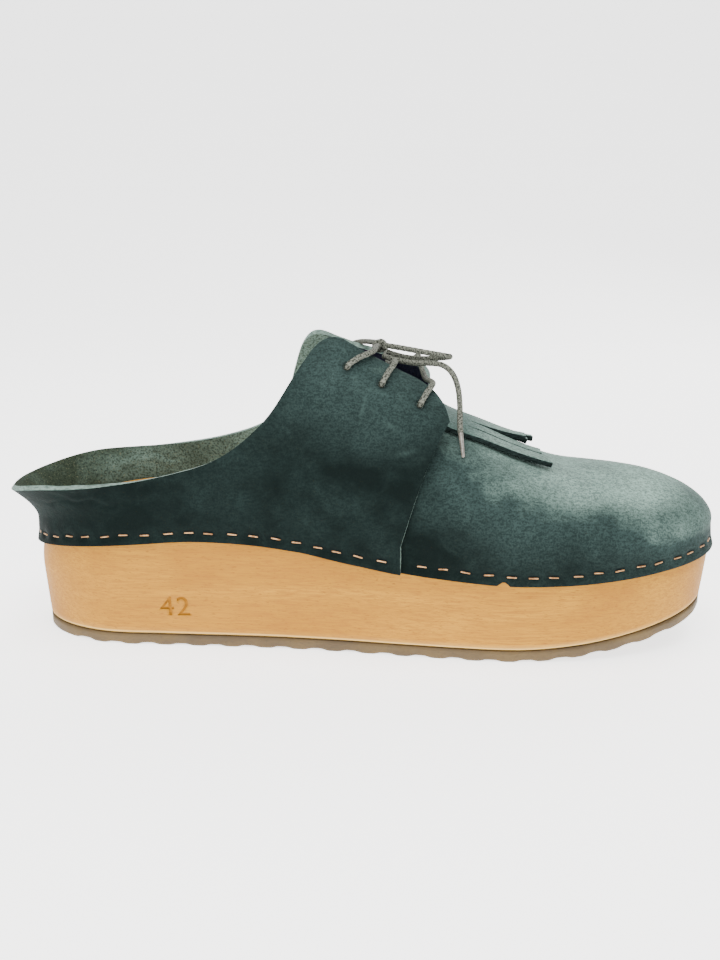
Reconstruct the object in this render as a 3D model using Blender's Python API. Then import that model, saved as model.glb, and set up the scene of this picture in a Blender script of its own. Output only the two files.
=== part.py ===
"""A left platform clog, size 43: wooden base, rubber outsole, leather vamp, laced quarters, kiltie and lace.

Metres, +Z up, +X towards the toe, -Y towards the inner side of the foot. The origin is on the ground, under the
middle of the base. Every leather piece is a sheet between two lifts of one last surface, so that the pieces
follow each other when a size changes.
"""

import math
from bisect import bisect_right

import bmesh
import bpy
from mathutils import Vector

# Driving sizes
BASE_LENGTH = 0.290
BALL_WIDTH = 0.103
EDGE_HEIGHT = 0.0595  # ground to the wood's top edge where it is highest
INSTEP_HEIGHT = 0.129  # ground to the top of the flaps
LEATHER = 0.0023
KILTIE_LEATHER = 0.0024
RUBBER = 0.0046
TREAD_DEPTH = 0.0010
TREAD_PITCH = 0.0145
TOE_SPRING = 0.0140
TOE_SWING = 0.0030  # how far the toe's tip lies towards the big toe
SIDE_UNDERCUT = 0.0030
END_UNDERCUT = 0.0036
END_SWELL = 0.0034  # how far the wood's ends stand out below the leather
BED_DEPTH = 0.0075
EDGE_ROUND = 0.0015
WRAP = 0.0115  # leather below the wood's top edge, where the staples hold it
HEEL_FLARE = 0.0072  # how far the collar leans out behind the heel
FLARE_HEIGHT = 0.0110
EYELET = 0.0034
LACE = 0.0024
AGLET = 0.0019
KILTIE_WIDTH = 0.043
SLIT = 0.0011
GAP = 0.0003
KILTIE_REST = 0.0007  # how high the kiltie lies over the vamp

# Share of the length from the heel, then the inner and outer half widths: shares of BALL_WIDTH, beside an ellipse
PLAN = (
    (0.00, 0.590, 0.590),
    (0.10, 0.532, 0.526),
    (0.20, 0.442, 0.438),
    (0.33, 0.395, 0.425),
    (0.45, 0.403, 0.462),
    (0.57, 0.452, 0.515),
    (0.69, 0.519, 0.557),
    (0.80, 0.562, 0.577),
    (0.90, 0.598, 0.622),
    (1.00, 0.650, 0.680),
)
# Share of the length, height of the wood's top edge as a share of EDGE_HEIGHT
EDGE_LINE = (
    (0.00, 0.850),
    (0.05, 0.900),
    (0.11, 0.943),
    (0.18, 0.975),
    (0.25, 1.000),
    (0.33, 0.988),
    (0.40, 0.950),
    (0.47, 0.900),
    (0.545, 0.840),
    (0.62, 0.802),
    (0.70, 0.777),
    (0.78, 0.781),
    (0.86, 0.805),
    (0.93, 0.842),
    (1.00, 0.885),
)
# Share of the length, heights of the vamp's ridge and of the ridge that the flaps aim at: shares of INSTEP_HEIGHT
RIDGE = (
    (0.00, 0.930, 1.130),
    (0.30, 0.930, 1.100),
    (0.40, 0.925, 1.060),
    (0.45, 0.905, 1.022),
    (0.50, 0.862, 0.962),
    (0.57, 0.765, 0.878),
    (0.61, 0.712, 0.820),
    (0.65, 0.676, 0.757),
    (0.70, 0.624, 0.702),
    (0.74, 0.588, 0.670),
    (0.79, 0.556, 0.645),
    (0.84, 0.552, 0.635),
    (0.88, 0.550, 0.630),
    (1.00, 0.540, 0.620),
)
# Top edge of the inner and of the outer quarter: share of the length, height as a share of INSTEP_HEIGHT
TOP_EDGE = {
    -1: (
        (0.000, 0.504),
        (0.055, 0.548),
        (0.120, 0.557),
        (0.180, 0.568),
        (0.235, 0.596),
        (0.280, 0.629),
        (0.320, 0.683),
        (0.362, 0.772),
        (0.400, 0.900),
        (0.425, 0.970),
        (0.447, 0.981),
        (0.474, 0.949),
        (0.505, 0.911),
        (0.537, 0.874),
        (0.565, 0.842),
        (0.585, 0.809),
        (0.600, 0.768),
        (0.607, 0.730),
    ),
    1: (
        (0.000, 0.504),
        (0.055, 0.540),
        (0.120, 0.555),
        (0.180, 0.568),
        (0.235, 0.584),
        (0.283, 0.608),
        (0.320, 0.638),
        (0.345, 0.678),
        (0.363, 0.745),
        (0.376, 0.845),
        (0.388, 0.925),
        (0.403, 0.972),
        (0.420, 0.979),
        (0.445, 0.948),
        (0.470, 0.920),
        (0.505, 0.898),
        (0.545, 0.876),
        (0.572, 0.848),
        (0.583, 0.812),
        (0.586, 0.765),
    ),
}
# Climb above the wood's edge as a share of the way to the ridge, share of the length of the vamp's rear edge
VAMP_REAR = (
    (-1.00, 0.490),
    (0.00, 0.490),
    (0.35, 0.498),
    (0.58, 0.510),
    (0.76, 0.472),
    (0.88, 0.447),
    (1.00, 0.440),
)
# Front edge of each quarter: share of the length at its foot and at its top corner
QUARTER_FRONT = {-1: (0.548, 0.607), 1: (0.548, 0.586)}
# Eyelets of each quarter from the collar down: share of the length, share of INSTEP_HEIGHT
EYELETS = {
    -1: ((0.466, 0.899), (0.514, 0.845), (0.567, 0.783)),
    1: ((0.446, 0.888), (0.497, 0.846), (0.548, 0.812)),
}
# Kiltie strips from the inner side: share of the length at the end, lift of the end in leather thicknesses
STRIPS = (
    (0.760, 0.45),
    (0.746, 0.55),
    (0.718, 1.45),
    (0.728, 0.70),
    (0.740, 1.10),
    (0.734, 0.50),
)
# Lace: how far forward it leads from each pair of eyelets as a share of the length, and how far a bar sags
LEADS = ((0.030, 0.0), (0.013, 0.0050), (0.012, 0.0035))
# The knot and what hangs from it, as points in millimetres
KNOT = ((2.9, -1.3, 123.8), (3.8, 0.0, 124.1), (4.7, 1.3, 123.8))
LOOP = (
    (6.8, -1.0, 124.4),
    (14.0, -4.0, 123.6),
    (24.0, -6.5, 122.1),
    (31.5, -7.0, 120.9),
    (33.6, -5.2, 120.3),
    (31.5, -3.4, 119.7),
    (24.0, -2.2, 119.0),
    (16.0, -1.2, 119.3),
    (9.5, -0.8, 120.8),
    (6.9, -0.6, 121.7),
)
LOOSE_END = (
    (5.4, -3.4, 120.3),
    (8.5, -5.2, 119.5),
    (14.0, -6.6, 118.4),
    (20.0, -7.8, 117.8),
    (25.0, -9.2, 118.0),
    (30.0, -11.2, 117.6),
    (34.0, -13.6, 114.8),
    (36.4, -16.6, 109.6),
    (37.3, -19.8, 102.6),
    (37.3, -23.6, 95.0),
    (37.5, -26.2, 91.6),
)
AGLET_LINE = ((37.55, -26.5, 91.3), (38.3, -34.4, 83.4))
KILTIE_REAR = 0.530
SLIT_START = 0.641
HEEL_FAN = 0.20  # shares of the length beyond which the sections turn round the heel and round the toe
TOE_FAN = 0.70
SPRING_START = 0.70
VAMP_FULLNESS = 2.2  # exponents of the sections: 2 is an ellipse
TOE_FULLNESS = 1.76
FLAP_FULLNESS = 2.05

INNER = -1
OUTER = 1
UP = Vector((0, 0, 1))

# Green nubuck, its paler cut edge, bare wood, gum rubber, grey lace and aglet: colour, roughness, metallic
FINISHES = {
    "nubuck_green": ((0.027, 0.058, 0.054), 0.85, 0.0),
    "nubuck_kiltie": ((0.120, 0.200, 0.180), 0.85, 0.0),
    "alder_wood": ((0.620, 0.360, 0.150), 0.55, 0.0),
    "gum_rubber": ((0.170, 0.110, 0.040), 0.70, 0.0),
    "grey_lace": ((0.290, 0.310, 0.280), 0.80, 0.0),
    "clear_aglet": ((0.450, 0.430, 0.390), 0.35, 0.0),
}


def mix(a, b, t):
    return a + (b - a) * t


def ease(value, low, high):
    """0 up to low, 1 from high, smooth between them."""
    t = min(max((value - low) / (high - low), 0.0), 1.0)
    return t * t * (3 - 2 * t)


def along(rows, key, column=1):
    """One column of a table at key, on a smooth curve through the rows."""
    last = len(rows) - 1
    i = min(max(bisect_right([row[0] for row in rows], key) - 1, 0), last - 1)
    slopes = []
    for k in (i, i + 1):
        before, after = rows[max(k - 1, 0)], rows[min(k + 1, last)]
        slopes.append((after[column] - before[column]) / (after[0] - before[0]))
    span = rows[i + 1][0] - rows[i][0]
    t = min(max((key - rows[i][0]) / span, 0.0), 1.0)
    straight = mix(rows[i][column], rows[i + 1][column], t * t * (3 - 2 * t))
    return straight + span * t * (1 - t) * ((1 - t) * slopes[0] - t * slopes[1])


def share_at(turn):
    """Share of the length at a turn: 0 behind the heel, 1 at the toe's tip, like an angle round the outline."""
    return (1 - math.cos(math.pi * turn)) / 2


def turn_at(share):
    return math.acos(1 - 2 * share) / math.pi


def length_x(share):
    return BASE_LENGTH * (share - 0.5)


def centre_y(share):
    return -TOE_SWING * ease(share, 0.6, 1.0)


def edge_point(side, turn):
    """The wood's top edge."""
    share = share_at(turn)
    half_width = math.sin(math.pi * turn) * along(PLAN, share, 1 if side == INNER else 2) * BALL_WIDTH
    return Vector((length_x(share), centre_y(share) + side * half_width, along(EDGE_LINE, share) * EDGE_HEIGHT))


def ridge_point(turn, flaps):
    """Where the section that starts at turn ends: the end sections fan out round the heel and the toe."""
    share = share_at(turn)
    if share > TOE_FAN:
        share -= (share - TOE_FAN) ** 2 / (1 - TOE_FAN) / 2
    if share < HEEL_FAN:
        share += (HEEL_FAN - share) ** 2 / HEEL_FAN / 2
    height = along(RIDGE, share, 2 if flaps else 1) * INSTEP_HEIGHT
    return Vector((length_x(share), centre_y(share), height))


def inward(side, turn):
    """Level direction from the wood's edge towards the ridge."""
    way = ridge_point(turn, False) - edge_point(side, turn)
    way.z = 0
    return way.normalized()


def underside(share):
    """Height of the wood's flat bottom, with the toe spring."""
    spring = max(share - SPRING_START, 0.0) / (1 - SPRING_START)
    return RUBBER + GAP + TOE_SPRING * spring**1.8


def wood_side(side, turn, down):
    """The wood's side at a share of its height below the top edge: it draws in towards the bottom."""
    share = share_at(turn)
    edge = edge_point(side, turn)
    end = (2 * share - 1) ** 4
    end_drawn_in = END_UNDERCUT * down - END_SWELL * ease(down, 0.0, 0.5)
    drawn_in = mix(SIDE_UNDERCUT * down**3, end_drawn_in, end)
    point = edge + inward(side, turn) * drawn_in
    point.z = mix(edge.z, underside(share), down)
    return point


def section_power(turn, flaps):
    """The power that shapes a section: its sides are fuller over the ball than round the toe."""
    fullness = FLAP_FULLNESS if flaps else mix(VAMP_FULLNESS, TOE_FULLNESS, ease(share_at(turn), 0.80, 0.97))
    return 2 / fullness


def last_point(side, turn, climb, flaps):
    """The last: climb is -1 at the leather's lower edge, 0 at the wood's top edge and 1 at the ridge."""
    edge = edge_point(side, turn)
    if climb < 0:
        return wood_side(side, turn, -climb * WRAP / (edge.z - underside(share_at(turn))))
    ridge = ridge_point(turn, flaps)
    power = section_power(turn, flaps)
    angle = min(climb, 1.0) * math.pi / 2
    rise = (ridge.z - edge.z) * math.sin(angle) ** power
    level = Vector((ridge.x - edge.x, ridge.y - edge.y, 0))
    flare = HEEL_FLARE * (1 - ease(share_at(turn), 0.0, 0.2)) * (rise / FLARE_HEIGHT) ** 1.6
    return edge + level * (1 - max(math.cos(angle), 0.0) ** power) - level.normalized() * flare + UP * rise


def climb_at(side, turn, height, flaps):
    """The climb at which a section reaches a height."""
    edge, ridge = edge_point(side, turn), ridge_point(turn, flaps)
    power = section_power(turn, flaps)
    share = min(max((height - edge.z) / (ridge.z - edge.z), 0.0), 1.0)
    return math.asin(share ** (1 / power)) * 2 / math.pi


def surface_normal(side, turn, climb, flaps):
    step = 0.004
    low, high = max(turn - step, 0.0), min(turn + step, 1.0)
    down, up = max(climb - step, -1.0), min(climb + step, 1.0)
    forward = last_point(side, high, climb, flaps) - last_point(side, low, climb, flaps)
    upward = last_point(side, turn, up, flaps) - last_point(side, turn, down, flaps)
    return forward.cross(upward).normalized() * -side


def upper_point(side, turn, climb, lift, flaps=False):
    """A point at a distance outside the last."""
    if climb >= 1:
        normal = surface_normal(INNER, turn, 1, flaps) + surface_normal(OUTER, turn, 1, flaps)
        return last_point(side, turn, 1, flaps) + normal.normalized() * lift
    return last_point(side, turn, climb, flaps) + surface_normal(side, turn, climb, flaps) * lift


def paint(obj, finish):
    """Gives an object its finish, made once for each name."""
    material = bpy.data.materials.get(finish)
    if material is None:
        material = bpy.data.materials.new(finish)
        material.use_nodes = True
        colour, roughness, metallic = FINISHES[finish]
        shader = material.node_tree.nodes["Principled BSDF"]
        shader.inputs["Base Color"].default_value = (*colour, 1)
        shader.inputs["Roughness"].default_value = roughness
        shader.inputs["Metallic"].default_value = metallic
        material.diffuse_color = (*colour, 1)
    obj.data.materials.clear()
    obj.data.materials.append(material)


def mesh_object(name, bm, finish):
    bmesh.ops.remove_doubles(bm, verts=bm.verts, dist=0.00001)
    bmesh.ops.dissolve_degenerate(bm, dist=0.00001, edges=bm.edges)
    bmesh.ops.recalc_face_normals(bm, faces=bm.faces)
    mesh = bpy.data.meshes.new(name)
    bm.to_mesh(mesh)
    bm.free()
    obj = bpy.data.objects.new(name, mesh)
    bpy.context.scene.collection.objects.link(obj)
    paint(obj, finish)
    return obj


def skin(name, loops, finish):
    """A closed solid over a row of closed loops, the first and last of which have no width."""
    bm = bmesh.new()
    rings = [[bm.verts.new(point) for point in loop] for loop in loops]
    for ring, after in zip(rings, rings[1:]):
        for i in range(len(ring)):
            j = (i + 1) % len(ring)
            bm.faces.new((ring[i], ring[j], after[j], after[i]))
    return mesh_object(name, bm, finish)


def sheet(name, layers, quads, finish):
    """A closed solid between two layers of named points, with a wall along each edge that one quad has."""
    bm = bmesh.new()
    inner = {key: bm.verts.new(pair[0]) for key, pair in layers.items()}
    outer = {key: bm.verts.new(pair[1]) for key, pair in layers.items()}
    edges = {}
    for quad in quads:
        bm.faces.new([outer[key] for key in quad])
        bm.faces.new([inner[key] for key in reversed(quad)])
        for i in range(4):
            edge = (quad[i], quad[(i + 1) % 4])
            edges[edge] = edges.get(edge[::-1], 0) + 1
            if edge[::-1] in edges:
                edges[edge[::-1]] += 1
    for (start, end), uses in edges.items():
        if uses == 1:
            bm.faces.new((outer[end], outer[start], inner[start], inner[end]))
    return mesh_object(name, bm, finish)


def spread(count, first, last):
    """Evenly spaced values, both ends included."""
    return [mix(first, last, i / count) for i in range(count + 1)]


def make_platform():
    """The wooden base, as sections across it: dished footbed, rounded edge, drawn-in sides and flat bottom."""
    loops = []
    for turn in spread(36, 0.0, 1.0):
        share = share_at(turn)
        inner = [wood_side(INNER, turn, down) for down in (1.0, 0.97, 0.80, 0.55, 0.30, 0.15)]
        outer = [wood_side(OUTER, turn, down) for down in (0.15, 0.30, 0.55, 0.80, 0.97, 1.0)]
        for side, row, last in ((INNER, inner, 0), (OUTER, outer, -1)):
            row[last] += inward(side, turn) * EDGE_ROUND * 0.6
            edge = edge_point(side, turn)
            rounded = [edge - UP * EDGE_ROUND, edge + inward(side, turn) * EDGE_ROUND]
            row[:] = row + rounded if side == INNER else rounded[::-1] + row
        start, end = inner[-1], outer[0]
        width = (end - start).length / BALL_WIDTH
        cup = BED_DEPTH * min(width / 0.6, 1.0) ** 0.7
        arch = 0.35 * ease(share, 0.30, 0.45) * (1 - ease(share, 0.50, 0.66))
        bed = []
        for v in spread(6, -1.0, 1.0)[1:-1]:
            hollow = (1 - v**4) * (1 - arch * max(-v, 0.0))
            bed.append(start.lerp(end, (v + 1) / 2) - UP * cup * hollow)
        bottom = [outer[-1].lerp(inner[0], v) for v in (0.33, 0.67)]
        loops.append(inner + bed + outer + bottom)
    return skin("platform", loops, "alder_wood")


def tread_shares():
    """Where the outsole has sections: two on each crest of the tread, one in each trough, closer at its ends."""
    shares = [share_at(turn) for turn in spread(36, 0.0, 1.0)[:4]]
    waves = round(BASE_LENGTH * 0.9 / TREAD_PITCH)
    for wave in range(waves + 1):
        for phase in (-0.11, 0.11, 0.5):
            shares.append(mix(0.05, 0.95, (wave + phase) / waves))
    return shares + [share_at(turn) for turn in spread(36, 0.0, 1.0)[-4:]], waves


def make_outsole():
    """The rubber under the wood, with shallow waves across it whose flat crests stand on the ground."""
    loops = []
    shares, waves = tread_shares()
    for share in shares:
        turn = turn_at(share)
        phase = (share - 0.05) / 0.9 * waves % 1.0
        hollow = 1.0 if 0.3 < phase < 0.7 and 0.05 < share < 0.95 else 0.0
        inner, outer = (wood_side(side, turn, 1.0) - UP * GAP for side in (INNER, OUTER))
        drop = UP * (RUBBER - TREAD_DEPTH * hollow)
        inner_low, outer_low = inner - drop, outer - drop
        loops.append(
            [inner, inner.lerp(outer, 0.33), inner.lerp(outer, 0.67), outer]
            + [outer_low, outer_low.lerp(inner_low, 0.33), outer_low.lerp(inner_low, 0.67), inner_low]
        )
    return skin("outsole", loops, "gum_rubber")


def make_vamp():
    """The front of the upper, over the toe and up the instep as the tongue, open at the rear and underneath."""
    stations, rows = 22, [-1.0, -0.5] + spread(9, 0.0, 1.0)
    layers = {}
    quads = []
    for station in range(-stations, stations + 1):
        side = OUTER if station > 0 else INNER
        for row, climb in enumerate(rows):
            rear = turn_at(along(VAMP_REAR, climb))
            turn = mix(1.0, rear, abs(station) / stations)
            key = (abs(station), row) if climb == 1 else (station, row)
            layers[key] = [upper_point(side, turn, climb, lift) for lift in (GAP, GAP + LEATHER)]
    for station in range(-stations, stations):
        for row in range(len(rows) - 1):
            corners = ((station, row), (station + 1, row), (station + 1, row + 1), (station, row + 1))
            quad = [(abs(s), r) if r == len(rows) - 1 else (s, r) for s, r in corners]
            quads.append(quad)
    return sheet("vamp", layers, quads, "nubuck_green")


def quarter_lift(turn):
    """The quarters lie on the wood at the rear and over the vamp in front."""
    return GAP + (GAP + LEATHER) * ease(share_at(turn), 0.40, 0.475)


def quarter_place(side, reach, rise):
    """Turn and climb at a share of the way to the front edge; rise is -1 at the lower edge and 1 at the top."""
    foot, corner = (turn_at(share) for share in QUARTER_FRONT[side])
    top_turn = reach * corner
    top = along(TOP_EDGE[side], share_at(top_turn)) * INSTEP_HEIGHT
    climb = rise if rise < 0 else rise * climb_at(side, top_turn, top, True)
    return reach * mix(foot, corner, max(rise, 0.0)), climb


def make_quarter():
    """The rear of the upper: one piece round the heel whose front ends are the laced flaps."""
    stations, rises = 30, [-1.0, -0.5] + spread(9, 0.0, 1.0)
    layers = {}
    quads = []
    for station in range(-stations, stations + 1):
        side = OUTER if station > 0 else INNER
        reach = 1 - (1 - abs(station) / stations) ** 1.4
        for row, rise in enumerate(rises):
            turn, climb = quarter_place(side, reach, rise)
            lift = quarter_lift(turn)
            layers[station, row] = [upper_point(side, turn, climb, lift + t, True) for t in (0, LEATHER)]
            if station < stations and row < len(rises) - 1:
                quads.append([(station, row), (station + 1, row), (station + 1, row + 1), (station, row + 1)])
    return sheet("quarter", layers, quads, "nubuck_green")


def eyelet_place(side, number):
    share, height = EYELETS[side][number]
    turn = turn_at(share)
    return turn, climb_at(side, turn, height * INSTEP_HEIGHT, True)


def punch_eyelets(quarter):
    """Three holes in each flap, cut square to the leather."""
    for side in (INNER, OUTER):
        for number in range(3):
            turn, climb = eyelet_place(side, number)
            normal = surface_normal(side, turn, climb, True)
            bpy.ops.mesh.primitive_cylinder_add(vertices=12, radius=EYELET / 2, depth=LEATHER * 4)
            punch = bpy.context.object
            punch.name = f"cut_eyelet_{number}_{'inner' if side == INNER else 'outer'}"
            punch.location = upper_point(side, turn, climb, quarter_lift(turn) + LEATHER / 2, True)
            punch.rotation_euler = normal.to_track_quat("Z", "Y").to_euler()
            punch.hide_render = True
            punch.display_type = "WIRE"
            cut = quarter.modifiers.new(punch.name, "BOOLEAN")
            cut.operation = "DIFFERENCE"
            cut.solver = "EXACT"
            cut.object = punch


def kiltie_point(share, across, lift):
    """A point over the vamp at a level distance from the ridge."""
    turn = turn_at(share)
    side = OUTER if across > 0 else INNER
    reach = (ridge_point(turn, False) - edge_point(side, turn)).xy.length
    climb = math.acos((abs(across) / reach) ** (1 / section_power(turn, False))) * 2 / math.pi
    return upper_point(side, turn, climb, lift)


def make_kiltie():
    """The fringed piece over the vamp: a plain rear part under the flaps, then strips between slits."""
    bed = GAP + LEATHER + KILTIE_REST
    count, rear_rows, strip_rows = len(STRIPS), 4, 6
    strip_width = KILTIE_WIDTH / count
    layers = {}
    quads = []
    for strip, (end, end_lift) in enumerate(STRIPS):
        for column in range(3):
            for row in range(rear_rows + strip_rows + 1):
                progress = max(row - rear_rows, 0) / strip_rows
                share = mix(SLIT_START, end, progress)
                if row < rear_rows:
                    share = mix(KILTIE_REAR, SLIT_START, row / rear_rows)
                across = (strip + column / 2 - count / 2) * strip_width
                inset = (1 - column) * SLIT / 2 * (progress > 0) * (0.4 + 0.6 * progress)
                lift = bed + end_lift * KILTIE_LEATHER * progress
                key = (row, strip, column) if progress > 0 else (row, 2 * strip + column)
                layers[key] = [kiltie_point(share, across + inset, lift + t) for t in (0, KILTIE_LEATHER)]
    for strip in range(count):
        for column in range(2):
            for row in range(rear_rows + strip_rows):
                corners = ((row, column), (row + 1, column), (row + 1, column + 1), (row, column + 1))
                quads.append([(r, strip, c) if r > rear_rows else (r, 2 * strip + c) for r, c in corners])
    return sheet("kiltie", layers, quads, "nubuck_kiltie")


def curve_through(points, steps):
    """Points on a smooth curve through the given ones."""
    rows = [(i, *point) for i, point in enumerate(points)]
    keys = [i / steps for i in range((len(points) - 1) * steps + 1)]
    return [Vector([along(rows, key, axis) for axis in (1, 2, 3)]) for key in keys]


def tube(name, points, diameter, finish):
    """A round cord along the points, closed at both ends."""
    curve = bpy.data.curves.new(name, "CURVE")
    curve.dimensions = "3D"
    curve.bevel_depth = diameter / 2
    curve.bevel_resolution = 2
    curve.use_fill_caps = True
    spline = curve.splines.new("POLY")
    spline.points.add(len(points) - 1)
    for target, point in zip(spline.points, points):
        target.co = (*point, 1)
    obj = bpy.data.objects.new(name, curve)
    bpy.context.scene.collection.objects.link(obj)
    paint(obj, finish)
    return obj


def over_flap(side, number):
    """From an eyelet up the outside of its flap and over the top edge, leading a little forward."""
    turn, climb = eyelet_place(side, number)
    lift = quarter_lift(turn) + LEATHER + GAP * 3 + LACE / 2
    top_share = share_at(turn) + LEADS[number][0]
    top_turn = turn_at(top_share)
    top = along(TOP_EDGE[side], top_share) * INSTEP_HEIGHT
    top_climb = climb_at(side, top_turn, top, True)
    places = [(turn, climb), (mix(turn, top_turn, 0.5), mix(climb, top_climb, 0.5)), (top_turn, top_climb)]
    return [upper_point(side, t, c, lift, True) for t, c in places]


def make_lace_bars():
    """The bars across the gap between the flaps: two from eyelet to eyelet, and two strands up to the knot."""
    for number, name in ((1, "lace_bar_middle"), (2, "lace_bar_front")):
        inner, outer = over_flap(INNER, number), over_flap(OUTER, number)
        middle = (inner[-1] + outer[-1]) / 2 - UP * LEADS[number][1]
        turned = [edge.lerp(middle, 0.30) + UP * LEADS[number][1] * 0.10 for edge in (inner[-1], outer[-1])]
        way = inner + [turned[0], middle, turned[1]] + outer[::-1]
        tube(name, curve_through(way, 3), LACE, "grey_lace")
    for side, name in ((INNER, "lace_strand_inner"), (OUTER, "lace_strand_outer")):
        tie = Vector(KNOT[1]) * 0.001
        near = tie + Vector((0, side * (LACE + GAP), 0))
        far = near + Vector((-0.0012, side * 0.0042, 0.0006))
        tube(name, curve_through(over_flap(side, 0) + [far, near], 3), LACE, "grey_lace")


def make_bow():
    """The knot on the strands, its loop, and the loose end with its aglet."""
    cords = {
        "lace_knot": (KNOT, LACE * 1.7),
        "lace_loop": (LOOP, LACE),
        "lace_end": (LOOSE_END, LACE),
        "aglet": (AGLET_LINE, AGLET),
    }
    for name, (points, diameter) in cords.items():
        path = [Vector(point) * 0.001 for point in points]
        smooth = path if len(path) < 4 else curve_through(path, 2)
        tube(name, smooth, diameter, "clear_aglet" if "aglet" in name else "grey_lace")


def build():
    for obj in list(bpy.data.objects):
        bpy.data.objects.remove(obj, do_unlink=True)
    make_platform()
    make_outsole()
    make_vamp()
    punch_eyelets(make_quarter())
    make_kiltie()
    make_lace_bars()
    make_bow()


build()
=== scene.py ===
"""A left platform clog in green nubuck on a wooden base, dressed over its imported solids.

Metres, +Z up, +X towards the toe, -Y towards the inner side of the foot, where the camera stands.
"""

import math
import random
from bisect import bisect_right

import bmesh
import bpy
from mathutils import Matrix, Vector, kdtree, noise


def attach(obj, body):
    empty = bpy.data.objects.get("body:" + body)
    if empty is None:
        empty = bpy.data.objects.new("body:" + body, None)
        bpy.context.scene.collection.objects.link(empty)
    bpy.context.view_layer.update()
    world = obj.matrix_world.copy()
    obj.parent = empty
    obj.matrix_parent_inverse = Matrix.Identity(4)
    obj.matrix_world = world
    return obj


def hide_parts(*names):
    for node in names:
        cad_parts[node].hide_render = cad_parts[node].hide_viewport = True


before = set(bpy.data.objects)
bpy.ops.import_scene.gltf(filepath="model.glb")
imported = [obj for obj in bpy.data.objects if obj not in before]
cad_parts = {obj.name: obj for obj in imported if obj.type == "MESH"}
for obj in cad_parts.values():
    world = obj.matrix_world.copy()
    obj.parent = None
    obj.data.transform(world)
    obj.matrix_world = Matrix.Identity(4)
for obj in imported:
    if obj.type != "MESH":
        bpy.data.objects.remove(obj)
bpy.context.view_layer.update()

# The wooden base is one block of alder, sawn, sanded and left bare.
# Its footbed is dished, its top edge rounded over and its bottom edge chamfered, with a bright line painted
# along the chamfer as a highlight.
BASE_LENGTH = 0.290
BALL_WIDTH = 0.103
EDGE_HEIGHT = 0.0595
RUBBER = 0.0046
GAP = 0.0003
TOE_SPRING = 0.0140
TOE_SWING = 0.0030
SIDE_UNDERCUT = 0.0030
END_UNDERCUT = 0.0036
END_SWELL = 0.0034
SPRING_START = 0.70
BED_DEPTH = 0.0075
ARCH_FILL = 0.35
EDGE_ROUND = 0.0015
CHAMFER = 0.0011
HEEL_FAN = 0.20
TOE_FAN = 0.70
WELD = 0.00002
INNER = -1
OUTER = 1
UP = Vector((0, 0, 1))
# Share of the length from the heel, inner and outer half width: shares of BALL_WIDTH, times an ellipse
PLAN = (
    (0.00, 0.590, 0.590),
    (0.10, 0.532, 0.526),
    (0.20, 0.442, 0.438),
    (0.33, 0.395, 0.425),
    (0.45, 0.403, 0.462),
    (0.57, 0.452, 0.515),
    (0.69, 0.519, 0.557),
    (0.80, 0.562, 0.577),
    (0.90, 0.598, 0.622),
    (1.00, 0.650, 0.680),
)
# Share of the length, height of the wood's top edge as a share of EDGE_HEIGHT
EDGE_LINE = (
    (0.00, 0.850),
    (0.05, 0.900),
    (0.11, 0.943),
    (0.18, 0.975),
    (0.25, 1.000),
    (0.33, 0.988),
    (0.40, 0.950),
    (0.47, 0.900),
    (0.545, 0.840),
    (0.62, 0.802),
    (0.70, 0.777),
    (0.78, 0.781),
    (0.86, 0.805),
    (0.93, 0.842),
    (1.00, 0.885),
)


def mix(a, b, t):
    return a + (b - a) * t


def spread(count, first, last):
    return [mix(first, last, i / count) for i in range(count + 1)]


def ease(value, low, high):
    t = min(max((value - low) / (high - low), 0.0), 1.0)
    return t * t * (3 - 2 * t)


def bump(value, centre, width):
    """1 at the centre, falling smoothly to 0 a few widths away."""
    return math.exp(-(((value - centre) / width) ** 2))


def along(rows, key, column=1):
    """One column of a table at key, on a smooth curve through the rows."""
    last = len(rows) - 1
    i = min(max(bisect_right(rows, (key, 9.0)) - 1, 0), last - 1)
    slopes = []
    for k in (i, i + 1):
        before, after = rows[max(k - 1, 0)], rows[min(k + 1, last)]
        slopes.append((after[column] - before[column]) / (after[0] - before[0]))
    span = rows[i + 1][0] - rows[i][0]
    t = min(max((key - rows[i][0]) / span, 0.0), 1.0)
    straight = mix(rows[i][column], rows[i + 1][column], t * t * (3 - 2 * t))
    return straight + span * t * (1 - t) * ((1 - t) * slopes[0] - t * slopes[1])


def share_at(turn):
    return (1 - math.cos(math.pi * turn)) / 2


def turn_at(share):
    return math.acos(1 - 2 * share) / math.pi


def swing(share):
    """The middle line bends towards the big toe."""
    return -TOE_SWING * ease(share, 0.6, 1.0)


def edge_point(side, turn):
    """The wood's top edge; turn goes from 0 behind the heel to 1 at the toe's tip."""
    share = share_at(turn)
    half = math.sin(math.pi * turn) * along(PLAN, share, 1 if side == INNER else 2) * BALL_WIDTH
    height = along(EDGE_LINE, share) * EDGE_HEIGHT
    return Vector((BASE_LENGTH * (share - 0.5), swing(share) + side * half, height))


def fanned(share):
    """The end sections turn round the heel and the toe."""
    if share > TOE_FAN:
        share -= (share - TOE_FAN) ** 2 / (2 * (1 - TOE_FAN))
    if share < HEEL_FAN:
        share += (HEEL_FAN - share) ** 2 / (2 * HEEL_FAN)
    return share


def inward(side, turn):
    """The level way from the wood's edge to the middle line."""
    share = fanned(share_at(turn))
    edge = edge_point(side, turn)
    return Vector((BASE_LENGTH * (share - 0.5) - edge.x, swing(share) - edge.y, 0)).normalized()


def underside(share):
    """Height of the wood's flat bottom, which rises under the toe."""
    return RUBBER + GAP + TOE_SPRING * (max(share - SPRING_START, 0.0) / (1 - SPRING_START)) ** 1.8


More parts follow.
